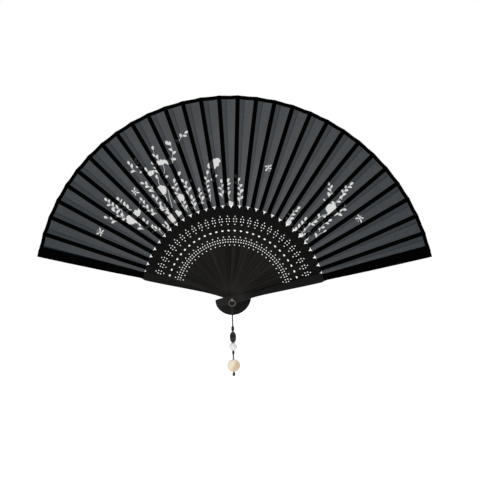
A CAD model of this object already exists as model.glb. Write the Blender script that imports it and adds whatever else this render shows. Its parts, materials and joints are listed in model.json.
# Folding hand fan with a pleated gauze leaf and a beaded cord charm. Metres, in the CAD's frame.
import json, math, random
import bpy, bmesh
import numpy as np
from mathutils import Vector, Matrix, Quaternion
from mathutils.geometry import delaunay_2d_cdt

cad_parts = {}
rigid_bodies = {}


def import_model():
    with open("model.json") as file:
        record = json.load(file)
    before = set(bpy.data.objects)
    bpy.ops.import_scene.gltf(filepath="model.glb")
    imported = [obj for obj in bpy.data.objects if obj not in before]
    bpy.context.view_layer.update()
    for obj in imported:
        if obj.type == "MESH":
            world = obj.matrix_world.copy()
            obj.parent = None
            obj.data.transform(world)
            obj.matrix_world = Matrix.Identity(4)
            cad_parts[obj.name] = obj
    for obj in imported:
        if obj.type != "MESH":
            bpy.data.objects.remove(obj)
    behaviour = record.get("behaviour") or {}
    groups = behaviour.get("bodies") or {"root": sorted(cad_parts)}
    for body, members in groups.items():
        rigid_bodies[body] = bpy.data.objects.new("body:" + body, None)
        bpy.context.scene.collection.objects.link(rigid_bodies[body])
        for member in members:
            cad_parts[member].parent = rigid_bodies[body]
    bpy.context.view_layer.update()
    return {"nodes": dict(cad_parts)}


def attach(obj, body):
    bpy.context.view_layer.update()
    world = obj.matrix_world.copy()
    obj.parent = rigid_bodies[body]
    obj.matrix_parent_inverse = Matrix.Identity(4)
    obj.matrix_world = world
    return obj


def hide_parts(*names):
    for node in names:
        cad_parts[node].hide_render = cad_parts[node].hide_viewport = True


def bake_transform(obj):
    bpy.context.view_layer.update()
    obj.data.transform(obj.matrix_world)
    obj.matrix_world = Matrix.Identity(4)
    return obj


for o in list(bpy.data.objects):
    bpy.data.objects.remove(o, do_unlink=True)
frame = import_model()
S = bpy.context.scene
MM = 0.001

# ------------------------------------------------------------------ the fan's numbers, in mm
COUNT, PITCH = 28, 5.27
REAR = 90 + (COUNT + 1) * PITCH / 2
R_IN, R_OUT, BIND = 89.3, 194.0, 3.6
RIB_W = 4.1
GUARD_IN, RECESS = 8.45, 0.25
BLADE_Y = 10.6
GUARD_HW = [(-12.4, 3.8), (-6, 3.95), (0, 3.95), (6, 3.75), (12, 3.3), (18, 2.85), (24, 2.65), (30, 2.65),
            (40, 2.95), (50, 3.3), (60, 3.68), (70, 4.05), (80, 4.32), (86, 4.42), (87.6, 4.3), (88.8, 3.85),
            (90, 3.4), (91.4, 3.15), (95, 3.2), (105, 3.55), (115, 3.9), (125, 4.22), (135, 4.5), (150, 4.82),
            (165, 5.15), (180, 5.4), (193.6, 5.6)]


def ak(k):
    return REAR - k * PITCH


def yk(k):
    return ((COUNT + 1) / 2 - k) * 0.6


def guard_hw(r):
    return float(np.interp(r, [p[0] for p in GUARD_HW], [p[1] for p in GUARD_HW]))


def smooth(x):
    x = min(1.0, max(0.0, x))
    return x * x * (3 - 2 * x)


# ------------------------------------------------------------------ camera
AZ, EL, ROLL, DIST = 5.8, 8.5, -1.37, 2.2
cam_data = bpy.data.cameras.new("camera")
cam = bpy.data.objects.new("camera", cam_data)
S.collection.objects.link(cam)
back = Vector((math.sin(math.radians(AZ)) * math.cos(math.radians(EL)),
               -math.cos(math.radians(AZ)) * math.cos(math.radians(EL)), math.sin(math.radians(EL))))
side = Vector((math.cos(math.radians(AZ)), math.sin(math.radians(AZ)), 0))
cam.location = side * 0.0077 + side.cross(-back) * 0.0552 + back * DIST
cam.rotation_mode = "QUATERNION"
cam.rotation_quaternion = (-back).to_track_quat("-Z", "Y") @ Quaternion((0, 0, 1), math.radians(ROLL))
cam_data.sensor_width = 36
cam_data.lens = 173.0
cam_data.clip_start, cam_data.clip_end = 0.01, 50
S.camera = cam


# ------------------------------------------------------------------ node helper
class Mat:
    """A small builder of shader nodes."""

    def __init__(self, name):
        self.m = bpy.data.materials.new(name)
        self.m.use_nodes = True
        self.t = self.m.node_tree
        self.t.nodes.clear()
        self.out = self.t.nodes.new("ShaderNodeOutputMaterial")
        self.bsdf = self.t.nodes.new("ShaderNodeBsdfPrincipled")
        self.t.links.new(self.bsdf.outputs[0], self.out.inputs[0])

    def put(self, node, key, value):
        s = node.inputs[key]
        if isinstance(value, bpy.types.NodeSocket):
            self.t.links.new(value, s)
        else:
            s.default_value = value

    def set(self, **kw):
        names = {"base": "Base Color", "rough": "Roughness", "metal": "Metallic", "spec": "Specular IOR Level",
                 "alpha": "Alpha", "normal": "Normal", "coat": "Coat Weight", "coat_rough": "Coat Roughness",
                 "sheen": "Sheen Weight", "sss": "Subsurface Weight", "sss_r": "Subsurface Radius",
                 "sss_s": "Subsurface Scale", "aniso": "Anisotropic", "ior": "IOR", "sheen_rough": "Sheen Roughness",
                 "emit": "Emission Color", "emit_s": "Emission Strength"}
        for k, v in kw.items():
            if k in ("base", "emit") and isinstance(v, tuple) and len(v) == 3:
                v = (*v, 1)
            self.put(self.bsdf, names[k], v)

    def math(self, op, a, b=0.0, c=0.0, clamp=False):
        n = self.t.nodes.new("ShaderNodeMath")
        n.operation, n.use_clamp = op, clamp
        self.put(n, 0, a)
        self.put(n, 1, b)
        if len(n.inputs) > 2:
            self.put(n, 2, c)
        return n.outputs[0]

    def remap(self, x, a, b, c, d, kind="LINEAR"):
        n = self.t.nodes.new("ShaderNodeMapRange")
        n.interpolation_type = kind
        for i, v in enumerate((x, a, b, c, d)):
            self.put(n, i, v)
        return n.outputs[0]

    def attr(self, name):
        n = self.t.nodes.new("ShaderNodeAttribute")
        n.attribute_name = name
        return n.outputs["Vector"]

    def obj(self):
        return self.t.nodes.new("ShaderNodeTexCoord").outputs["Object"]

    def split(self, v):
        n = self.t.nodes.new("ShaderNodeSeparateXYZ")
        self.put(n, 0, v)
        return n.outputs[0], n.outputs[1], n.outputs[2]

    def join(self, x, y, z=0.0):
        n = self.t.nodes.new("ShaderNodeCombineXYZ")
        for i, v in enumerate((x, y, z)):
            self.put(n, i, v)
        return n.outputs[0]

    def noise(self, v, scale=1.0, detail=3.0, rough=0.5, distort=0.0):
        n = self.t.nodes.new("ShaderNodeTexNoise")
        self.put(n, "Vector", v)
        for k, x in (("Scale", scale), ("Detail", detail), ("Roughness", rough), ("Distortion", distort)):
            self.put(n, k, x)
        return n.outputs[0]

    def voronoi(self, v, scale=1.0, feature="F1"):
        n = self.t.nodes.new("ShaderNodeTexVoronoi")
        n.feature = feature
        self.put(n, "Vector", v)
        self.put(n, "Scale", scale)
        return n.outputs["Distance"]

    def ramp(self, x, stops):
        n = self.t.nodes.new("ShaderNodeValToRGB")
        e = n.color_ramp.elements
        while len(e) < len(stops):
            e.new(0.5)
        for el, (p, c) in zip(e, stops):
            el.position = p
            el.color = (*c, 1)
        self.put(n, 0, x)
        return n.outputs[0]

    def mix(self, f, a, b, kind="MIX"):
        n = self.t.nodes.new("ShaderNodeMix")
        n.data_type, n.blend_type = "RGBA", kind
        self.put(n, 0, f)
        self.put(n, 6, (*a, 1) if isinstance(a, tuple) else a)
        self.put(n, 7, (*b, 1) if isinstance(b, tuple) else b)
        return n.outputs[2]

    def bump(self, h, dist, strength=1.0, normal=None):
        n = self.t.nodes.new("ShaderNodeBump")
        self.put(n, "Height", h)
        self.put(n, "Distance", dist)
        self.put(n, "Strength", strength)
        if normal is not None:
            self.put(n, "Normal", normal)
        return n.outputs[0]

    def normal_y(self):
        n = self.t.nodes.new("ShaderNodeNewGeometry")
        return self.math("ABSOLUTE", self.split(n.outputs["Normal"])[1])


# ------------------------------------------------------------------ materials
def cord_material():
    m = Mat("twisted_cord")
    x, y, z = m.split(m.obj())
    lay = m.math("ADD", m.math("MULTIPLY", z, 5200), m.math("MULTIPLY", m.math("ADD", x, y), 5200))
    ply = m.math("SINE", lay)
    fuzz = m.noise(m.obj(), 3500, 3, 0.6)
    m.set(base=m.ramp(m.math("ADD", m.math("MULTIPLY", ply, 0.25), fuzz),
                      [(0.25, (0.009, 0.0088, 0.0085)), (0.95, (0.034, 0.033, 0.032))]),
          rough=m.remap(fuzz, 0, 1, 0.6, 0.85), spec=0.15,
          normal=m.bump(m.math("ADD", ply, m.math("MULTIPLY", fuzz, 0.5)), 0.00007, 0.9))
    return m.m


def gauze(name, printed=False):
    """Fine black gauze: what lies behind shows through it a little, and more where it is printed."""
    m = Mat(name)
    a = m.attr("fan")
    phi, r, k = m.split(a)
    arc = m.math("MULTIPLY", phi, m.math("MULTIPLY", r, math.pi / 180))          # mm across the panel
    thread_a = m.math("SINE", m.math("MULTIPLY", arc, 2 * math.pi / 0.42))
    thread_b = m.math("SINE", m.math("MULTIPLY", r, 2 * math.pi / 0.38))
    weave = m.math("MULTIPLY", thread_a, thread_b)
    slub = m.noise(m.join(m.math("MULTIPLY", arc, 0.12), m.math("MULTIPLY", r, 1.6), m.math("MULTIPLY", k, 3.7)), 1, 3, 0.6)
    warp = m.noise(m.join(m.math("MULTIPLY", arc, 2.2), m.math("MULTIPLY", r, 0.06), m.math("MULTIPLY", k, 5.1)), 1, 3, 0.6)
    patch = m.noise(m.join(m.math("MULTIPLY", arc, 0.10), m.math("MULTIPLY", r, 0.035), m.math("MULTIPLY", k, 1.9)), 1, 2, 0.5)
    wob = m.math("MULTIPLY", m.math("SUBTRACT", m.noise(m.join(0.0, m.math("MULTIPLY", r, 0.12), m.math("MULTIPLY", k, 7.3)), 1, 2, 0.5), 0.5), 0.34)
    d = m.math("DIVIDE", m.math("SUBTRACT", m.math("SUBTRACT", phi, 1.9), wob), 0.15)
    crease = m.math("EXPONENT", m.math("MULTIPLY", m.math("MULTIPLY", d, d), -1.0))
    strip = m.remap(phi, 1.75, 2.05, 1.0, 0.0, "SMOOTHSTEP")
    # how much light comes through
    side = m.math("ABSOLUTE", m.math("SUBTRACT", k, 13.5))
    t = m.math("MULTIPLY", 0.0785, m.remap(side, 3.0, 14.5, 1.0, 0.68))
    t = m.math("MULTIPLY", t, m.remap(r, 95.0, 190.0, 1.07, 0.82))
    t = m.math("MULTIPLY", t, m.math("SUBTRACT", 1.0, m.math("MULTIPLY", strip, 0.26)))
    t = m.math("MULTIPLY", t, m.math("SUBTRACT", 1.0, m.math("MULTIPLY", crease, 0.5)))
    t = m.math("MULTIPLY", t, m.remap(slub, 0.2, 0.8, 0.83, 1.19))
    t = m.math("MULTIPLY", t, m.remap(warp, 0.2, 0.8, 0.88, 1.12))
    t = m.math("MULTIPLY", t, m.remap(patch, 0.25, 0.75, 0.93, 1.07))
    t = m.math("MULTIPLY", t, m.math("ADD", 1.0, m.math("MULTIPLY", weave, 0.16)))
    if printed:
        worn = m.noise(m.join(m.math("MULTIPLY", arc, 1.1), m.math("MULTIPLY", r, 1.1), k), 1, 4, 0.65)
        t = m.math("SUBTRACT", m.remap(worn, 0.3, 0.8, 0.69, 0.62), m.math("MULTIPLY", weave, 0.05))
        t = m.math("MULTIPLY", t, m.math("SUBTRACT", 1.0, m.math("MULTIPLY", crease, 0.10)))
        base = m.ramp(worn, [(0.25, (0.075, 0.072, 0.068)), (0.8, (0.045, 0.044, 0.042))])
        m.set(base=base, rough=0.85, spec=0.02)
    else:
        base = m.mix(m.remap(slub, 0.2, 0.8, 0.0, 1.0), (0.0024, 0.0082, 0.0140), (0.0044, 0.0114, 0.0185))
        # where it is glued down on a stick, the cloth shows the black below
        right = m.math("MULTIPLY", m.math("SUBTRACT", PITCH, phi), m.math("MULTIPLY", r, math.pi / 180))
        glued = m.remap(m.math("MINIMUM", m.math("SUBTRACT", arc, m.remap(k, 0.2, 0.6, 2.7, 0.0)), right), RIB_W / 2 - 0.1, RIB_W / 2 + 0.25, 1.0, 0.0, "SMOOTHSTEP")
        base = m.mix(glued, base, (0.0006, 0.0007, 0.0008))
        m.set(base=base, rough=0.85, spec=0.008)
    m.set(alpha=m.math("SUBTRACT", 1.0, t, clamp=True),
          normal=m.bump(m.math("ADD", weave, m.math("MULTIPLY", slub, 2.0)), 0.00003, 0.6))
    return m.m


def ribbon_material(name, across="r"):
    m = Mat(name)
    phi, r, k = m.split(m.attr("fan"))
    arc = m.math("MULTIPLY", phi, m.math("MULTIPLY", r, math.pi / 180))
    ribs = m.math("SINE", m.math("MULTIPLY", arc, 2 * math.pi / 0.55))
    thread = m.math("SINE", m.math("MULTIPLY", r, 2 * math.pi / 0.4))
    fuzz = m.noise(m.join(m.math("MULTIPLY", arc, 3.0), m.math("MULTIPLY", r, 3.0), k), 1, 4, 0.6)
    m.set(base=m.ramp(m.math("ADD", m.math("MULTIPLY", ribs, 0.15), fuzz),
                      [(0.2, (0.0003, 0.0003, 0.0003)), (0.9, (0.0012, 0.0011, 0.0012))]),
          rough=m.remap(fuzz, 0.2, 0.8, 0.7, 0.9), spec=0.006,
          normal=m.bump(m.math("ADD", m.math("MULTIPLY", ribs, thread), fuzz), 0.00005, 0.7))
    return m.m


def stained_wood(name, direction=None, dark=(0.0040, 0.0038, 0.0034), light=(0.0105, 0.0098, 0.0086), spec=0.06,
                 edge=(0.016, 0.015, 0.0135), wear=0.5):
    """Black-stained wood with the grain along the stick. direction is degrees in XZ, or None to run out from the pivot."""
    m = Mat(name)
    x, y, z = m.split(m.obj())
    if direction is None:
        # which stick it is follows from its place along the pin, and its direction from that
        k = m.math("ROUND", m.math("SUBTRACT", 14.5, m.math("DIVIDE", y, 0.0006)))
        a = m.math("MULTIPLY", m.math("SUBTRACT", REAR, m.math("MULTIPLY", k, PITCH)), math.pi / 180)
        c, s = m.math("COSINE", a), m.math("SINE", a)
        along = m.math("ADD", m.math("MULTIPLY", x, c), m.math("MULTIPLY", z, s))
        across = m.math("SUBTRACT", m.math("MULTIPLY", z, c), m.math("MULTIPLY", x, s))
    else:
        c, s = math.cos(math.radians(direction)), math.sin(math.radians(direction))
        along = m.math("ADD", m.math("MULTIPLY", x, c), m.math("MULTIPLY", z, s))
        across = m.math("SUBTRACT", m.math("MULTIPLY", z, c), m.math("MULTIPLY", x, s))
    grain = m.noise(m.join(m.math("MULTIPLY", across, 2600), m.math("MULTIPLY", y, 900), m.math("MULTIPLY", along, 55)), 1, 5, 0.62, 0.4)
    broad = m.noise(m.join(m.math("MULTIPLY", across, 500), m.math("MULTIPLY", y, 700), m.math("MULTIPLY", along, 18)), 1, 3, 0.5)
    pores = m.noise(m.join(m.math("MULTIPLY", across, 9000), m.math("MULTIPLY", y, 4000), m.math("MULTIPLY", along, 420)), 1, 2, 0.5)
    tone = m.math("ADD", m.math("MULTIPLY", grain, 0.65), m.math("MULTIPLY", broad, 0.35))
    col = m.ramp(tone, [(0.30, dark), (0.72, light)])
    if direction is None:
        # sticks differ in tone; each one's left edge is rubbed, and dirt gathers beside its neighbour's
        own = m.noise(m.join(m.math("MULTIPLY", k, 3.17), 0.5, m.math("MULTIPLY", along, 9)), 1, 1, 0.5)
        col = m.mix(1.0, col, m.ramp(own, [(0.3, (0.60, 0.60, 0.60)), (0.7, (1.75, 1.73, 1.66))]), "MULTIPLY")
        mm_along = m.math("MULTIPLY", along, 1000)
        mm_across = m.math("MULTIPLY", across, 1000)
        off = m.math("SUBTRACT", mm_along, 32)
        hw = m.math("ADD", 2.5, m.math("MULTIPLY", m.math("MULTIPLY", off, off), 0.0006))
        rim = m.remap(m.math("SUBTRACT", hw, mm_across), 0.05, 0.42, 1.0, 0.0, "SMOOTHSTEP")
        col = m.mix(m.math("MULTIPLY", rim, m.remap(grain, 0.35, 0.65, 0.25, 0.75)), col, (0.032, 0.0305, 0.027))
        gap = m.math("SUBTRACT", mm_across, m.math("SUBTRACT", hw, m.math("MULTIPLY", mm_along, 0.092)))
        dirt = m.remap(gap, 0.0, 1.1, 1.0, 0.0, "SMOOTHSTEP")
        col = m.mix(m.math("MULTIPLY", dirt, 0.8), col, (0.0015, 0.0015, 0.0015))
        # the dye is deeper towards the leaf
        col = m.mix(m.remap(mm_along, 52, 84, 0.0, 0.8, "SMOOTHSTEP"), col, (0.0012, 0.0012, 0.0012))
        # and rubbed paler on the tails, where the hand holds it
        col = m.mix(m.remap(mm_along, 8, -3, 0.0, 0.55, "SMOOTHSTEP"), col, (0.020, 0.019, 0.0172))
    else:
        # handled most round the pin
        col = m.mix(m.remap(m.math("MULTIPLY", along, 1000), 9, 20, 0.42, 0.0, "SMOOTHSTEP"), col, (0.026, 0.025, 0.0235))
    side = m.remap(m.normal_y(), 0.35, 0.85, 1.0, 0.0, "SMOOTHSTEP")
    rub = m.math("MULTIPLY", side, m.remap(grain, 0.35, 0.65, 0.35, wear))
    col = m.mix(rub, col, edge)
    m.set(base=col, rough=m.remap(tone, 0.3, 0.7, 0.36, 0.56), spec=spec, coat=0.02, coat_rough=0.3,
          normal=m.bump(m.math("ADD", grain, m.math("MULTIPLY", m.remap(pores, 0.55, 0.75, 0.0, -1.0), 0.3)), 0.00005, 0.4))
    return m.m


def gunmetal(name, lo=(0.10, 0.097, 0.093), hi=(0.30, 0.29, 0.275), rough=(0.24, 0.44)):
    m = Mat(name)
    v = m.obj()
    tarnish = m.noise(v, 900, 4, 0.6)
    scratch = m.noise(m.join(*[m.math("MULTIPLY", c, s) for c, s in zip(m.split(v), (9000, 2500, 1100))]), 1, 3, 0.7, 1.2)
    m.set(base=m.ramp(m.math("ADD", m.math("MULTIPLY", tarnish, 0.7), m.math("MULTIPLY", scratch, 0.3)), [(0.32, lo), (0.68, hi)]),
          metal=1.0, rough=m.remap(scratch, 0.3, 0.7, *rough), normal=m.bump(scratch, 0.00002, 0.5))
    return m.m


def black_bead_material():
    m = Mat("black_glass_bead")
    n = m.noise(m.obj(), 260, 3, 0.55)
    fine = m.noise(m.obj(), 2600, 2, 0.5)
    m.set(base=m.ramp(n, [(0.3, (0.0025, 0.0025, 0.0028)), (0.75, (0.0075, 0.0075, 0.008))]), rough=m.remap(fine, 0.3, 0.7, 0.06, 0.12),
          spec=0.3, normal=m.bump(n, 0.00005, 0.3))
    return m.m


def white_bead_material():
    m = Mat("white_stone_bead")
    n = m.noise(m.obj(), 240, 5, 0.6, 0.6)
    vein = m.noise(m.obj(), 620, 5, 0.7, 1.6)
    col = m.ramp(n, [(0.3, (0.67, 0.67, 0.66)), (0.75, (0.79, 0.79, 0.78))])
    col = m.mix(m.remap(vein, 0.58, 0.68, 0.0, 0.25), col, (0.55, 0.55, 0.54))
    m.set(base=col, rough=m.remap(vein, 0.3, 0.7, 0.22, 0.36), spec=0.45, sss=0.12, sss_s=0.002,
          normal=m.bump(vein, 0.00004, 0.4))
    return m.m


def wood_bead_material():
    m = Mat("pale_wood_bead")
    x, y, z = m.split(m.obj())
    z0 = m.math("ADD", z, 0.06315)
    y0 = m.math("ADD", y, 0.012)
    warpn = m.noise(m.obj(), 190, 3, 0.5)
    ring = m.math("SQRT", m.math("ADD", m.math("POWER", m.math("ADD", x, 0.011), 2.0), m.math("POWER", m.math("ADD", y0, m.math("MULTIPLY", z0, 0.25)), 2.0)))
    bands = m.math("SINE", m.math("ADD", m.math("MULTIPLY", ring, 6800), m.math("MULTIPLY", warpn, 9.0)))
    fibre = m.noise(m.join(m.math("MULTIPLY", x, 3800), m.math("MULTIPLY", y0, 3800), m.math("MULTIPLY", z0, 260)), 1, 4, 0.65)
    tone = m.math("ADD", m.math("MULTIPLY", bands, 0.13), m.math("ADD", m.math("MULTIPLY", fibre, 0.75), 0.12))
    col = m.ramp(tone, [(0.28, (0.72, 0.60, 0.45)), (0.50, (0.84, 0.75, 0.62)), (0.78, (0.90, 0.83, 0.72))])
    heart = m.math("ADD", m.math("MULTIPLY", x, 1000), m.math("MULTIPLY", z0, -420))
    heart = m.math("ADD", heart, m.math("MULTIPLY", m.math("SUBTRACT", warpn, 0.5), 5.0))
    dark_side = m.ramp(tone, [(0.28, (0.56, 0.40, 0.25)), (0.50, (0.68, 0.52, 0.36)), (0.78, (0.76, 0.62, 0.46))])
    col = m.mix(m.remap(heart, -0.4, 1.8, 0.0, 1.0, "SMOOTHSTEP"), col, dark_side)
    low = m.remap(z0, 0.0045, -0.006, 0.0, 1.0, "SMOOTHSTEP")
    col = m.mix(m.math("MULTIPLY", low, 0.35), col, (0.54, 0.39, 0.25))
    m.set(base=col, rough=m.remap(fibre, 0.3, 0.7, 0.42, 0.6), spec=0.3, sss=0.05, sss_s=0.001,
          normal=m.bump(m.math("ADD", fibre, m.math("MULTIPLY", bands, 0.3)), 0.00008, 0.5))
    return m.m


MAT = {
    "cord": cord_material(),
    "cloth": gauze("black_gauze"),
    "print": gauze("pale_print", True),
    "binding": ribbon_material("black_ribbon"),
    "flap": ribbon_material("black_end_cloth"),
    "sticks": stained_wood("stained_sticks"),
    "rear_guard": stained_wood("stained_rear_guard", ak(0), dark=(0.0032, 0.0031, 0.0029), light=(0.0085, 0.0081, 0.0074)),
    "front_guard": stained_wood("stained_front_guard", ak(29), dark=(0.0030, 0.0030, 0.0031), light=(0.0078, 0.0075, 0.0074)),
    "pin": gunmetal("gunmetal_pin"),
    "ring": gunmetal("gunmetal_ring", (0.045, 0.043, 0.041), (0.20, 0.19, 0.18)),
    "black": black_bead_material(),
    "white": white_bead_material(),
    "wood": wood_bead_material(),
}


def new_mesh(name, verts, faces, mats, smooth_angle=None):
    me = bpy.data.meshes.new(name)
    me.from_pydata([tuple(v) for v in verts], [], [tuple(f) for f in faces])
    me.validate()
    for m in mats:
        me.materials.append(m)
    if smooth_angle is not None:
        me.shade_smooth()
        me.set_sharp_from_angle(angle=math.radians(smooth_angle))
    ob = bpy.data.objects.new(name, me)
    S.collection.objects.link(ob)
    return ob


def fan_attribute(ob, values):
    at = ob.data.attributes.new("fan", "FLOAT_VECTOR", "POINT")
    at.data.foreach_set("vector", np.array(values, np.float32).ravel())


# ------------------------------------------------------------------ the charm's cords
EYE_Y, RING_Z, STRAND, CORD_D = -12.0, -2.57, 0.36, 0.65
LOOP_Z = RING_Z - 3.0
cord_points = [(-STRAND, EYE_Y, z) for z in (-27.4, -24, -18, -13.5)]
cord_points += [(-STRAND * 0.9, EYE_Y - 0.15, -11.8), (-STRAND * 0.6, EYE_Y - 0.6, -9.8), (-STRAND * 0.25, EYE_Y - 1.1, -8)]
cord_points += [(0, EYE_Y + 1.3 * math.cos(math.radians(a)), LOOP_Z + 1.3 * math.sin(math.radians(a)))
                for a in np.arange(180, -1, -22.5)]
cord_points += [(STRAND * 0.25, EYE_Y + 1.1, -8), (STRAND * 0.6, EYE_Y + 0.6, -9.8), (STRAND * 0.9, EYE_Y + 0.15, -11.8)]
cord_points += [(STRAND, EYE_Y, z) for z in (-13.5, -18, -24, -31, -42, -50, -56, -64, -72.4)]
return_points = [(-STRAND, EYE_Y, z) for z in (-27.7, -31, -35, -38.5, -42, -46, -50, -53, -56, -60, -64, -67, -69, -71, -72.4)]


def cord_curve(name, pts):
    cu = bpy.data.curves.new(name, "CURVE")
    cu.dimensions = "3D"
    cu.bevel_depth = CORD_D / 2 * MM
    cu.bevel_resolution = 3
    cu.resolution_u = 6
    cu.use_fill_caps = True
    sp = cu.splines.new("BEZIER")
    sp.bezier_points.add(len(pts) - 1)
    for b, p in zip(sp.bezier_points, pts):
        b.co = Vector(p) * MM
        b.handle_left_type = b.handle_right_type = "AUTO"
    cu.materials.append(MAT["cord"])
    ob = bpy.data.objects.new(name, cu)
    S.collection.objects.link(ob)
    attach(ob, "charm_body")
    return ob


cord_a = cord_curve("cord_over_ring", cord_points)
cord_b = cord_curve("cord_second_strand", return_points)
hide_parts("charm_cord")
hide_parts("charm_cord_return")


def tube(points, radius, sides=10, taper=None, base=0):
    """(verts, faces) of a closed tube along points, with domed ends."""
    P = [np.array(p, float) for p in points]
    T = [P[min(i + 1, len(P) - 1)] - P[max(i - 1, 0)] for i in range(len(P))]
    T = [t / np.linalg.norm(t) for t in T]
    n = np.cross(T[0], [0.31, 0.17, 0.93])
    n /= np.linalg.norm(n)
    rings, faces = [], []
    frames = []
    for i, t in enumerate(T):
        n = n - t * (n @ t)
        n /= np.linalg.norm(n)
        frames.append((P[i], n, np.cross(t, n)))
    rad = [radius * (taper(i / (len(P) - 1)) if taper else 1) for i in range(len(P))]
    rows = [(P[0] - T[0] * rad[0] * 0.75, 0.35 * rad[0], 0), (P[0] - T[0] * rad[0] * 0.45, 0.78 * rad[0], 0)]
    rows += [(P[i], rad[i], i) for i in range(len(P))]
    rows += [(P[-1] + T[-1] * rad[-1] * 0.45, 0.78 * rad[-1], -1), (P[-1] + T[-1] * rad[-1] * 0.75, 0.35 * rad[-1], -1)]
    verts = []
    for c, r, i in rows:
        _, a, b = frames[i]
        for j in range(sides):
            w = 2 * math.pi * j / sides
            verts.append(c + r * (math.cos(w) * a + math.sin(w) * b))
    for i in range(len(rows) - 1):
        for j in range(sides):
            j2 = (j + 1) % sides
            faces.append((base + i * sides + j, base + i * sides + j2, base + (i + 1) * sides + j2, base + (i + 1) * sides + j))
    faces.append(tuple(base + j for j in range(sides - 1, -1, -1)))
    faces.append(tuple(base + (len(rows) - 1) * sides + j for j in range(sides)))
    return verts, faces


def knot(name, node, z0, z1, r_out, turns, tilt, over, tails=()):
    """A knot tied in the cord: wraps round both strands, with strands passing over them."""
    cr = 0.325
    verts, faces = [], []

    def add(pts, rad=cr, taper=None):
        v, f = tube(pts, rad, 10, taper, len(verts))
        verts.extend(v)
        faces.extend(f)

    rw = r_out - cr - 0.03
    n = int(turns * 20)
    lo, hi = z0 + cr + 0.1, z1 - cr - 0.1
    pts = []
    for i in range(n + 1):
        u = i / n
        a = 2 * math.pi * turns * u
        bulge = 0.82 + 0.18 * math.sin(math.pi * u)
        # the wrap starts and ends tucked in beside the strands
        bulge *= 0.75 + 0.25 * smooth(min(u, 1 - u) * turns * 2)
        pts.append((rw * bulge * math.cos(a), EYE_Y + rw * bulge * math.sin(a),
                    lo + (hi - lo) * u + tilt * math.cos(a)))
    add(pts)
    for a0, twist in over:
        pts = []
        for i in range(15):
            u = i / 14
            a = math.radians(a0 + twist * (u - 0.5))
            rr = (rw + 0.1) * (0.35 + 0.65 * math.sin(math.pi * min(1, max(0, u))) ** 0.45)
            pts.append((rr * math.cos(a), EYE_Y + rr * math.sin(a), z0 + 0.35 + (z1 - z0 - 0.7) * u))
        add(pts, cr * 0.92)
    for a0, length, spread in tails:
        pts = [(0.25 * math.cos(math.radians(a0)) + spread * math.cos(math.radians(a0)) * (i / 8) ** 1.6,
                EYE_Y + 0.25 * math.sin(math.radians(a0)) + spread * math.sin(math.radians(a0)) * (i / 8) ** 1.6,
                z0 + 0.9 - length * i / 8) for i in range(9)]
        add(pts, cr * 0.9, lambda u: 1.0 - 0.25 * u)
    ob = new_mesh(name, [Vector(v) * MM for v in verts], faces, [MAT["cord"]], 60)
    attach(ob, "charm_body")
    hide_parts(node)
    return ob


knot_top = knot("knot_top", "upper_knot", -29.9, -24.8, 1.55, 6.4, 0.10, [(-95, 40)])
knot_mid = knot("knot_middle", "middle_knot", -52.4, -48.75, 1.3, 3.6, 0.22, [(-70, 90), (120, 90)])
knot_end = knot("knot_end", "end_knot", -73.4, -69.45, 1.5, 3.4, 0.28, [(-110, 100), (60, 100)], [(200, 0.85, 0.35), (350, 0.8, 0.3)])


# ------------------------------------------------------------------ beads, turned and bored
def lathe(name, outer, r_bore, z0, z1, centre_z, mat, lumps=0.0, seed=1):
    """outer(u) is the radius at u from 0 at the bottom to 1 at the top."""
    seg, n = 56, 30
    prof = []
    for i in range(n + 1):
        u = 0.5 - 0.5 * math.cos(math.pi * i / n)
        prof.append((outer(u), z0 + (z1 - z0) * u))
    for rr, dz in ((r_bore + 0.12, -0.10), (r_bore, -0.34), (r_bore, 0)):
        prof.append((rr, (z1 + dz) if dz else (z0 + z1) / 2))
    prof += [(r_bore, z0 + 0.34), (r_bore + 0.12, z0 + 0.10)]
    rng = random.Random(seed)
    ph = [rng.uniform(0, 6.28) for _ in range(6)]
    verts = []
    for r, z in prof:
        for j in range(seg):
            a = 2 * math.pi * j / seg
            g = 1.0
            if lumps and r > r_bore + 0.5:
                g += lumps * (math.sin(2 * a + ph[0] + z * 0.5) + 0.6 * math.sin(3 * a + ph[1] - z * 0.8) + 0.5 * math.sin(z * 1.1 + ph[2])) / 2
            verts.append(Vector((r * g * math.cos(a), EYE_Y + r * g * math.sin(a), z)) * MM)
    m = len(prof)
    faces = [(i * seg + j, i * seg + (j + 1) % seg, ((i + 1) % m) * seg + (j + 1) % seg, ((i + 1) % m) * seg + j)
             for i in range(m) for j in range(seg)]
    return new_mesh(name, verts, faces, [mat], 50)


def oval(r, p=0.5):
    return lambda u: 0.95 + (r - 0.95) * max(0.0, 1 - (2 * u - 1) ** 2) ** p


def ball(d):
    return lambda u: max(0.92, math.sqrt(max(0.0, (d / 2) ** 2 - ((2 * u - 1) * math.sqrt((d / 2) ** 2 - 0.92 ** 2)) ** 2)))


def ball_z(d, mid):
    h = math.sqrt((d / 2) ** 2 - 0.92 ** 2)
    return mid - h, mid + h


b1 = lathe("bead_black", oval(3.05, 0.5), 0.8, -40.8, -30.6, -35.7, MAT["black"], 0.006, 3)
b2 = lathe("bead_white", ball(7.58), 0.8, *ball_z(7.58, -44.75), -44.75, MAT["white"], 0.004, 5)
b3 = lathe("bead_wood", ball(12.28), 0.8, *ball_z(12.28, -63.15), -63.15, MAT["wood"], 0.002, 7)
for b, node in ((b1, "black_bead"), (b2, "white_bead"), (b3, "wood_bead")):
    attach(b, node + "_body")
    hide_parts(node)


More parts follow.
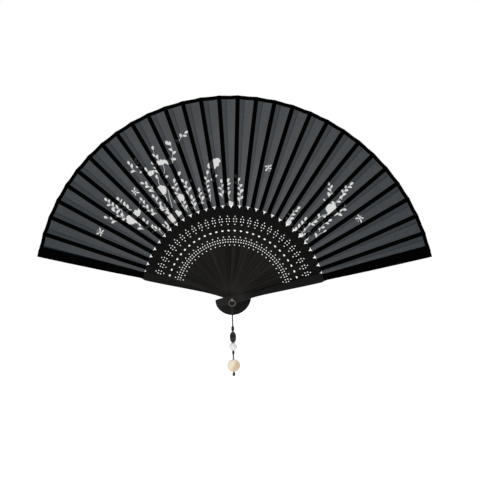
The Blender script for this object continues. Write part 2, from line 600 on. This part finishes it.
# ------------------------------------------------------------------ the printed pattern, in mm on the open fan
SPRIGS = [
    ((-49.0, 147.7), (-43.3, 157.2), 0.1, 3, 4.2),
    ((-58.5, 129.7), (-56.1, 145.8), -0.15, 4, 4.6),
    ((-65.6, 131.6), (-73.2, 141.6), 0.15, 3, 4.4),
    ((-75.6, 122.1), (-89.4, 130.6), 0.2, 4, 4.4),
    ((-90.3, 122.1), (-96.0, 127.8), 0.1, 2, 4.2),
    ((-68.5, 119.2), (-72.3, 127.8), -0.1, 2, 3.6),
    ((-73.7, 101.7), (-82.3, 109.7), -0.1, 3, 4),
    ((-71.8, 81.2), (-85.1, 92.6), 0.12, 3, 4.4),
    ((-64.2, 86.9), (-73.2, 95.5), 0.1, 2, 5.5),
    ((-58.5, 80.3), (-69.0, 86.5), -0.15, 3, 4.2),
    ((-50.0, 99.3), (-53.8, 110.2), 0.1, 3, 4),
    ((-40.5, 98.8), (-44.3, 110.7), -0.1, 4, 4.2),
    ((-33.8, 85.0), (-37.1, 94.1), 0.05, 1, 6),
    ((-41.9, 83.1), (-45.7, 92.2), 0.1, 3, 2.8),
    ((-25.7, 90.7), (-30.0, 101.2), 0.1, 2, 5),
    ((-20.0, 92.6), (-22.2, 117.8), 0.08, 5, 4.6),
    ((-14.8, 110.7), (-15.8, 119.2), 0, 1, 3.4),
    ((-8.2, 96.4), (-8.6, 109.7), 0, 3, 3.4),
    ((-1.0, 95.5), (-2.9, 110.2), 0.12, 3, 4.8),
    ((8.0, 91.7), (6.6, 114.0), -0.08, 5, 4.4),
    ((-101.3, 76.5), (-111.7, 82.7), 0.1, 3, 4.6),
    ((-110.8, 73.6), (-118.8, 77.0), 0, 2, 3.8),
    ((-106.0, 85.5), (-118.8, 93.1), 0.1, 4, 3.8),
    ((-96.0, 85.0), (-107.4, 93.6), 0.1, 3, 3.6),
    ((-85.1, 65.6), (-90.3, 71.3), 0, 2, 5),
    ((-71.8, 65.1), (-83.2, 73.2), 0.12, 4, 3.6),
    ((-58.0, 63.2), (-63.7, 67.9), 0, 2, 3.4),
    ((-67.1, 61.8), (-71.3, 66.0), 0, 1, 3.2),
    ((93.0, 95.5), (94.4, 106.9), -0.15, 3, 4.4),
    ((105.4, 94.1), (112.5, 107.1), 0.12, 4, 4.6),
    ((98.7, 87.9), (102.5, 94.5), 0.1, 2, 4),
    ((97.8, 78.9), (106.8, 86.5), -0.1, 3, 3.8),
    ((83.0, 76.0), (90.2, 80.3), 0.1, 2, 4),
    ((54.1, 72.7), (62.1, 84.6), 0.1, 3, 4.4),
    ((59.3, 64.1), (69.7, 73.6), -0.1, 3, 4),
    ((69.7, 64.1), (77.8, 72.2), 0.1, 3, 4),
    ((83.5, 64.1), (91.6, 73.2), 0.1, 4, 4),
    ((66.9, 54.6), (72.6, 61.3), 0, 2, 3.8),
    ((80.2, 57.5), (86.8, 63.2), 0.1, 2, 3.8),
]
FLOWERS = [
    ((-66.6, 104.0), 4.6, 100, 5),
    ((-58.5, 76.5), 4.4, 125, 4),
    ((-53.3, 81.2), 3.4, 110, 4),
    ((-49.7, 96.4), 3.8, 120, 4),
    ((-15.0, 128.7), 4.3, -60, 4),
    ((-0.9, 90.7), 3.2, 95, 3),
    ((-96.9, 75.5), 4.6, 140, 5),
    ((-92.2, 81.2), 3.4, 135, 4),
    ((95.2, 85.7), 4.8, 40, 5),
    ((-65.8, 131.1), 2.8, 110, 3),
    ((-58.7, 131.1), 2.6, 80, 3),
    ((-76.1, 120.7), 2.4, 130, 3),
    ((55.5, 72.7), 2.6, 60, 3),
    ((67.4, 59.4), 3.2, 50, 4),
]
INSECTS = [
    ((-92.9, 102.1), 40),
    ((-126.6, 63.2), 150),
    ((36.5, 125.7), -80),
    ((122.4, 77.2), -120),
]
TENDRILS = [
    ((-64.9, 128.7), (-61.1, 121.1), (-65.6, 117.3)),
    ((-63.8, 99.3), (-59.8, 93.9), (-62.0, 87.5)),
    ((-15.3, 124.9), (-17.4, 121.1), (-16.7, 116.4)),
    ((-51.9, 68.4), (-63.3, 79.3), (-65.6, 98.3)),
    ((-42.4, 72.7), (-43.3, 86.0), (-49.0, 93.6)),
    ((-69.0, 116.4), (-70.4, 111.6), (-67.1, 106.9)),
    ((-80.4, 66.0), (-88.9, 72.7), (-94.6, 74.6)),
    ((-91.8, 83.1), (-87.0, 87.9), (-88.0, 93.6)),
    ((62.1, 55.6), (68.8, 67.0), (84.9, 78.4)),
    ((87.8, 78.4), (92.5, 80.3), (94.4, 82.2)),
    ((72.6, 57.5), (83.0, 72.7), (98.2, 80.3)),
    ((-55.7, 82.2), (-58.5, 93.6), (-60.9, 108.8)),
    ((-20.0, 87.9), (-19.1, 97.4), (-20.5, 105.0)),
    ((-0.6, 86.9), (-1.5, 82.2), (-2.5, 77.4)),
    ((8.0, 84.1), (8.9, 89.8), (7.5, 95.5)),
    ((-103.2, 78.4), (-106.0, 83.1), (-106.0, 86.0)),
]
LEAVES = [
    ((-70.2, 114.5), 100, 4),
    ((-63.4, 115.4), 30, 4),
    ((-62.0, 110.7), -40, 3.4),
    ((-50.0, 116.6), 70, 5),
    ((-37.6, 111.1), 90, 3.4),
    ((90.3, 93.2), 140, 2.6),
    ((-101.7, 88.8), 120, 3.6),
    ((-57.6, 146.8), 130, 5),
]


def stroke(pts, w0, w1):
    """An outline of a line that narrows from w0 to w1."""
    P = [np.array(p, float) for p in pts]
    left, right = [], []
    for i in range(len(P)):
        t = P[min(i + 1, len(P) - 1)] - P[max(i - 1, 0)]
        t /= np.linalg.norm(t)
        n = np.array([-t[1], t[0]])
        w = (w0 + (w1 - w0) * i / (len(P) - 1)) / 2
        left.append(P[i] + n * w)
        right.append(P[i] - n * w)
    return left + right[::-1]


def bezier(a, c, b, n=9):
    a, b, c = np.array(a, float), np.array(b, float), np.array(c, float)
    return [(1 - t) ** 2 * a + 2 * t * (1 - t) * c + t * t * b for t in np.linspace(0, 1, n)]


def leaf_shape(base, ang, length, width, bend=0.12, blunt=0.62):
    """A leaf or petal: pointed at its stalk, widest beyond the middle, and a little curved."""
    d = np.array([math.cos(ang), math.sin(ang)])
    n = np.array([-d[1], d[0]])
    up, down = [], []
    for t in np.linspace(0, 1, 8):
        w = width / 2 * math.sin(math.pi * t ** blunt) ** 0.85 if 0 < t < 1 else 0.0
        mid = base + d * length * t + n * bend * length * math.sin(math.pi * t) * 0.5
        up.append(mid + n * w)
        if 0 < t < 1:
            down.append(mid - n * w)
    return up + down[::-1]


def make_print():
    rng = random.Random(27)
    out = []
    for a, b, bend, pairs, L in SPRIGS:
        a, b = np.array(a, float), np.array(b, float)
        d = b - a
        span = np.linalg.norm(d)
        n = np.array([-d[1], d[0]])
        c = (a + b) / 2 + n * bend * 2
        pts = bezier(a, c, b, 9)
        out.append(stroke(pts, 0.42, 0.26))
        size0 = 4.75 + 0.3 * (L - 4.0)
        rows = max(1, int(span / 5.3 + 0.35))
        for i in range(rows):
            for s in (1, -1):
                if rng.random() < 0.12:
                    continue
                u = min(0.93, (i + (0.10 if s > 0 else 0.52)) / rows)
                j = u * 8
                p = pts[int(j)] + (pts[min(8, int(j) + 1)] - pts[int(j)]) * (j - int(j))
                t = pts[min(8, int(j) + 1)] - pts[int(j)]
                h = math.atan2(t[1], t[0])
                size = size0 * (1.0 - 0.22 * u) * rng.uniform(0.88, 1.12)
                side_dir = h + s * (0.74 + rng.uniform(-0.16, 0.16))
                q = p + np.array([math.cos(side_dir), math.sin(side_dir)]) * 0.5
                out.append(leaf_shape(q, side_dir, size, size * rng.uniform(0.46, 0.56), -0.22 * s, 1.3))
        t = pts[-1] - pts[-2]
        t /= max(1e-6, np.linalg.norm(t))
        out.append(leaf_shape(pts[-1] + t * 0.5, math.atan2(t[1], t[0]), size0 * 0.95, size0 * 0.5, 0.08, 1.3))
    for c, r, head, petals in FLOWERS:
        c = np.array(c, float)
        r = r * 1.06
        h0 = math.radians(head)
        fan_out = 2 * math.pi * (1.0 if petals >= 5 else 0.42)
        for i in range(petals):
            if petals >= 5:
                a = h0 + 2 * math.pi * i / petals
                base, ln = c - 0.05 * r * np.array([math.cos(a), math.sin(a)]), r * 1.10
                out.append(leaf_shape(base, a, ln * rng.uniform(0.92, 1.06), r * 1.22, 0.04, 1.5))
            else:
                a = h0 + (i - (petals - 1) / 2) * fan_out / petals
                base = c - 0.85 * r * np.array([math.cos(h0), math.sin(h0)])
                out.append(leaf_shape(base, a, r * 1.85 * rng.uniform(0.92, 1.04), r * 1.15, 0.05, 1.5))
        if petals >= 5:
            out.append([c + 0.74 * r * np.array([math.cos(a), math.sin(a)]) for a in np.linspace(0, 2 * math.pi, 9)[:-1]])
        else:
            base = c - 0.85 * r * np.array([math.cos(h0), math.sin(h0)])
            for s in (-1, 1):
                out.append(leaf_shape(base, h0 + s * 1.25, r * 0.9, r * 0.4, 0.2 * s, 1.2))
    for c, head in INSECTS:
        c, h = np.array(c, float), math.radians(head)
        d = np.array([math.cos(h), math.sin(h)])
        out.append(leaf_shape(c - d * 2.6, h, 5.2, 0.85, 0.0, 1.2))
        for s in (-1, 1):
            out.append(leaf_shape(c + d * 0.9, h + s * 0.92, 4.5, 1.5, 0.16 * s, 1.4))
            out.append(leaf_shape(c - d * 0.1, h + s * 1.95, 3.6, 1.35, -0.14 * s, 1.4))
            out.append(stroke(bezier(c + d * 2.7, c + d * 3.7, c + d * 4.5 + np.array([-d[1], d[0]]) * s * 1.2, 5), 0.22, 0.16))
    for a, c, b in TENDRILS:
        out.append(stroke(bezier(a, c, b, 11), 0.5, 0.34))
    for c, h, L in LEAVES:
        out.append(leaf_shape(np.array(c, float), math.radians(h), L * 1.15, L * 0.58, 0.14, 1.35))
    return [[(float(p[0]), float(p[1])) for p in poly] for poly in out]


PRINT = make_print()


# ------------------------------------------------------------------ the leaf, one pleated panel of cloth between each two sticks
def deg(v, r):
    return math.degrees(math.asin(v / r))


def cloth_y(k):
    return GUARD_IN + RECESS - 0.1 if k == 0 else -GUARD_IN - RECESS + 0.1 if k == COUNT + 1 else yk(k) - 0.1


def depth(k, r):
    # the first folds lie 0.15 mm apart in front of the rear guard, and the last is flat, so they don't meet when closed
    if k == COUNT:
        return 0.0
    return min(0.3 + 1.3 * (r - R_IN) / (R_OUT - R_IN), max(0.0, 0.45 * k - 0.2))


def stations(k, r):
    """[degrees clockwise of member k, y] across panel k, in mm."""
    e = deg(RIB_W / 2 + 0.25, r)
    y0, y1 = cloth_y(k), cloth_y(k + 1)
    s = [(-deg(guard_hw(r) - 0.4, r), y0), (0.0, y0)] if k == 0 else [(0.0, y0), (e, y0)]
    s += [(1.9, y0 + depth(k, r)), (3.1, y0 - 0.1)]
    if k == COUNT:
        s += [(PITCH, y1)]
    else:
        s += [(PITCH - deg(RIB_W / 2 + 0.35, r), y1 + 0.45), (PITCH - deg(RIB_W / 2 + 0.18, r), y1), (PITCH, y1)]
    return s


def panel_weight(k, phi, r):
    """How far a point of panel k goes with member k + 1."""
    end = PITCH - deg(RIB_W / 2 + 0.35, r) if k < COUNT else PITCH - deg(guard_hw(r), r)
    return min(1.0, max(0.0, (phi - 1.9) / (end - 1.9)))


def cloth_surface(k, phi, r, ripple):
    s = stations(k, r)
    y = float(np.interp(phi, [p[0] for p in s], [p[1] for p in s]))
    e = deg(RIB_W / 2 + 0.25, r)
    # the cloth between two sticks isn't quite flat
    f = smooth((phi - e) / 0.9) * smooth((PITCH - deg(RIB_W / 2 + 0.35, r) - phi) / 0.7)
    if 0 < k < COUNT:
        a, b, c = ripple
        y += f * (0.10 * math.sin(r * 0.31 + a + phi) + 0.07 * math.sin(r * 0.83 + b - 1.7 * phi) + 0.05 * math.sin(phi * 3.4 + c + r * 0.12))
    return y


def at(k, phi, r, y):
    a = math.radians(ak(k) - phi)
    return Vector((r * math.cos(a), y, r * math.sin(a))) * MM


def flat_area(ob):
    return sum(p.area for p in ob.data.polygons)


def build_panel(k):
    rng = random.Random(100 + k)
    ripple = [rng.uniform(0, 6.28) for _ in range(3)]
    r_end = R_OUT - BIND + 1.2
    rows = list(np.linspace(R_IN, r_end, 30))

    def cols(r):
        c = [p[0] for p in stations(k, r)]
        # two more lines on the wide, open part of the panel
        i = c.index(3.1)
        c[i:i + 1] = [2.5, 3.1, (3.1 + c[i + 1]) / 2]
        return c

    table = [cols(r) for r in rows]
    nc = len(table[0])
    pts, index = [], {}
    for j, r in enumerate(rows):
        for i in range(nc):
            a = math.radians(ak(k) - table[j][i])
            index[i, j] = len(pts)
            pts.append(Vector((r * math.cos(a), r * math.sin(a))))
    boundary = ([index[0, j] for j in range(len(rows))] + [index[i, len(rows) - 1] for i in range(1, nc)]
                + [index[nc - 1, j] for j in range(len(rows) - 2, -1, -1)] + [index[i, 0] for i in range(nc - 2, 0, -1)])
    edges = []
    for i in range(nc):
        for j in range(len(rows) - 1):
            edges.append((index[i, j], index[i, j + 1]))
    for j in range(0, len(rows)):
        for i in range(nc - 1):
            edges.append((index[i, j], index[i + 1, j]))
    faces_in = [boundary[::-1]]  # counterclockwise, as each face has to be
    lo_phi, hi_phi = table[-1][0] - 0.6, table[-1][-1] + 0.6
    for poly in PRINT:
        inside = False
        for x, z in poly:
            r, ph = math.hypot(x, z), ak(k) - math.degrees(math.atan2(z, x))
            if R_IN < r < r_end and table[0][0] - 0.2 < ph < PITCH + 0.2:
                inside = True
                break
        if not inside:
            continue
        base = len(pts)
        pts.extend(Vector(p) for p in poly)
        turn = sum(p[0] * q[1] - q[0] * p[1] for p, q in zip(poly, poly[1:] + poly[:1]))
        ids = list(range(base, base + len(poly)))
        faces_in.append(ids if turn > 0 else ids[::-1])
    v2, _, f2, _, _, forig = delaunay_2d_cdt(pts, edges, faces_in, 1, 1e-4, True)
    keep, kinds = [], []
    for f, orig in zip(f2, forig):
        if 0 in orig:
            keep.append(list(f))
            kinds.append(1 if any(o > 0 for o in orig) else 0)
    used = sorted({v for f in keep for v in f})
    renum = {v: i for i, v in enumerate(used)}
    verts, attr, weights = [], [], []
    for v in used:
        x, z = v2[v]
        r = math.hypot(x, z)
        phi = ak(k) - math.degrees(math.atan2(z, x))
        y = cloth_surface(k, phi, r, ripple)
        verts.append(Vector((x, y, z)) * MM)
        attr.append((phi, r, float(k)))
        weights.append(panel_weight(k, phi, r))
    faces = [[renum[v] for v in f] for f in keep]
    # faces look towards -Y
    fixed = []
    for f in faces:
        a, b, c = (verts[f[0]], verts[f[1]], verts[f[2]])
        n = (b - a).cross(c - a)
        fixed.append(f if n.y < 0 else f[::-1])
    ob = new_mesh("leaf_panel_%02d" % (k + 1), verts, fixed, [MAT["cloth"], MAT["print"]])
    ob.data.polygons.foreach_set("material_index", kinds)
    ob.data.shade_smooth()
    ob.data.set_sharp_from_angle(angle=math.radians(24))
    fan_attribute(ob, attr)
    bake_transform(ob)
    out = [at(k, p, r_end, cloth_surface(k, p, r_end, ripple)) for p in table[-1]]
    width = sum((b - a).length for a, b in zip(out, out[1:]))
    return ob, ripple, (width, (r_end - R_IN) * MM)


def build_binding(k, ripple):
    """The ribbon folded over the cloth's outer edge, along panel k."""
    r0, r1 = R_OUT - BIND, R_OUT
    s = stations(k, r1)
    cols = []
    for (a, _), (b, _) in zip(s, s[1:]):
        n = 3 if b - a > 0.5 else 1
        cols += [a + (b - a) * i / n for i in range(n)]
    cols.append(s[-1][0])
    # the ribbon's section: [distance from the pivot, offset in y], round the cloth's edge
    sec = [(r0, -0.10), (r0 + 0.35, -0.145), (r0 + 1.7, -0.155), (r1 - 0.45, -0.15), (r1 - 0.12, -0.115), (r1, -0.02),
           (r1 - 0.06, 0.07), (r1 - 0.45, 0.115), (r0 + 1.7, 0.115), (r0 + 0.25, 0.105), (r0 - 0.02, 0.06), (r0 - 0.02, 0.015),
           (r1 - 1.0, 0.015), (r1 - 1.0, -0.03), (r0, -0.03)]
    verts, attr, weights = [], [], []
    for phi1 in cols:
        for r, dy in sec:
            # creases and rib edges keep their own lines across the ribbon
            here = np.interp(phi1, [p[0] for p in stations(k, r1)], [p[0] for p in stations(k, r)])
            y = cloth_surface(k, here, r, ripple)
            t = min(1.0, max(0.0, here / PITCH))
            verts.append(at(k, here, r - 0.62 * 4 * t * (1 - t), y + dy))
            attr.append((here, r, float(k)))
            weights.append(panel_weight(k, here, r))
    m, n = len(sec), len(cols)
    faces = [(i * m + j, (i + 1) * m + j, (i + 1) * m + (j + 1) % m, i * m + (j + 1) % m) for i in range(n - 1) for j in range(m)]
    faces += [tuple(range(m - 1, -1, -1)), tuple((n - 1) * m + j for j in range(m))]
    ob = new_mesh("binding_%02d" % (k + 1), verts, faces, [MAT["binding"]])
    bm = bmesh.new()
    bm.from_mesh(ob.data)
    bmesh.ops.recalc_face_normals(bm, faces=bm.faces)
    bm.to_mesh(ob.data)
    bm.free()
    ob.data.shade_smooth()
    ob.data.set_sharp_from_angle(angle=math.radians(32))
    fan_attribute(ob, attr)
    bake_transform(ob)
    return ob


for k in range(COUNT + 1):
    panel, ripple, (width, length) = build_panel(k)
    strip = build_binding(k, ripple)
    area = flat_area(panel)
    if k == 0:
        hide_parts("silk_leaf")
        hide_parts("edge_binding")


# ------------------------------------------------------------------ the leaf's end, wrapped over the front guard's blade
def build_flap():
    a = math.radians(ak(COUNT + 1))
    d, n = np.array([math.cos(a), math.sin(a)]), np.array([-math.sin(a), math.cos(a)])
    rows = list(np.linspace(89.6, 193.4, 40))
    verts, attr = [], []
    for j, x in enumerate(rows):
        hw = guard_hw(x)
        c = min(0.75, hw * 0.4) * 0.7
        sec = [(-hw - 0.03, -BLADE_Y + c + 0.75), (-hw - 0.05, -BLADE_Y + c), (-hw + c * 0.20, -BLADE_Y + c * 0.36),
               (-hw + c * 0.58, -BLADE_Y + c * 0.05), (-hw + c * 1.25, -BLADE_Y - 0.02)]
        sec += [(-hw * 0.4, -BLADE_Y - 0.03), (0, -BLADE_Y - 0.035), (hw * 0.4, -BLADE_Y - 0.03)]
        sec += [(-v, y) for v, y in sec[4::-1]]
        for v, y in sec:
            wave = 0.02 * math.sin(x * 0.9 + v) + 0.015 * math.sin(x * 2.3 - v * 1.3)
            p = d * x + n * v
            verts.append(Vector((p[0], y - 0.03 - abs(wave), p[1])) * MM)
            attr.append((v / x * 57.3, x, 40.0))
    m = len(sec)
    faces = [(j * m + i, (j + 1) * m + i, (j + 1) * m + i + 1, j * m + i + 1) for j in range(len(rows) - 1) for i in range(m - 1)]
    ob = new_mesh("leaf_end_wrap", verts, faces, [MAT["flap"]], 50)
    fan_attribute(ob, attr)
    sol = ob.modifiers.new("thickness", "SOLIDIFY")
    sol.thickness, sol.offset = 0.00009, 1
    bpy.context.view_layer.objects.active = ob
    for o in bpy.context.selected_objects:
        o.select_set(False)
    ob.select_set(True)
    bpy.ops.object.modifier_apply(modifier="thickness")
    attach(ob, "front_guard_body")
    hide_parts("leaf_end_flap")
    return ob


build_flap()


# ------------------------------------------------------------------ the CAD pieces that show keep their shape
def repaint(node, mat):
    me = frame["nodes"][node].data
    me.materials.clear()
    me.materials.append(mat)


for k in range(1, COUNT + 1):
    repaint("stick_%02d" % k, MAT["sticks"])
repaint("rear_guard", MAT["rear_guard"])
repaint("front_guard", MAT["front_guard"])
repaint("pivot_pin", MAT["pin"])
repaint("pin_washer", MAT["pin"])
repaint("jump_ring", MAT["ring"])

# ------------------------------------------------------------------ floor, world and lights
fm = Mat("pale_floor")
fm.set(base=fm.ramp(fm.noise(fm.obj(), 3, 2, 0.5), [(0.0, (0.90, 0.90, 0.90)), (1.0, (0.93, 0.93, 0.93))]), rough=0.9, spec=0.0,
       emit=(1.0, 1.0, 1.0), emit_s=0.35)
bpy.ops.mesh.primitive_circle_add(vertices=96, radius=0.42, fill_type="NGON", location=(0, 0, -0.088))
floor = bpy.context.object
floor.name = "floor"
floor.data.materials.append(fm.m)

world = bpy.data.worlds.new("world")
S.world = world
world.use_nodes = True
wt = world.node_tree
wt.nodes.clear()
wo = wt.nodes.new("ShaderNodeOutputWorld")
bg = wt.nodes.new("ShaderNodeBackground")
lp = wt.nodes.new("ShaderNodeLightPath")
mx = wt.nodes.new("ShaderNodeMapRange")
mx.inputs[3].default_value, mx.inputs[4].default_value = 0.50, 1.0
wt.links.new(lp.outputs["Is Camera Ray"], mx.inputs[0])
bg.inputs[0].default_value = (1, 1, 1, 1)
wt.links.new(mx.outputs[0], bg.inputs[1])
wt.links.new(bg.outputs[0], wo.inputs[0])


def area(name, loc, aim, size, power, colour=(1, 1, 1)):
    li = bpy.data.lights.new(name, "AREA")
    li.shape, li.size, li.size_y, li.energy, li.color = "RECTANGLE", size[0], size[1], power, colour
    ob = bpy.data.objects.new(name, li)
    S.collection.objects.link(ob)
    ob.location = loc
    ob.rotation_mode = "QUATERNION"
    ob.rotation_quaternion = (Vector(aim) - Vector(loc)).to_track_quat("-Z", "Y")
    return ob


area("key", (-0.7, -1.1, 1.0), (0, 0, 0.05), (0.6, 0.6), 10.5, (1.0, 0.99, 0.97))
area("fill", (1.1, -0.9, 0.5), (0, 0, 0.05), (0.7, 0.9), 2.5, (0.94, 0.97, 1.0))
area("top", (0.1, 0.3, 1.3), (0, 0, 0.05), (1.0, 0.6), 4)
area("back", (0.6, 1.2, 0.6), (0, 0, 0.05), (0.9, 0.9), 4)

S.view_settings.view_transform = "Standard"
S.view_settings.look = "None"
S.view_settings.exposure = 0.0
S.view_settings.gamma = 1.0
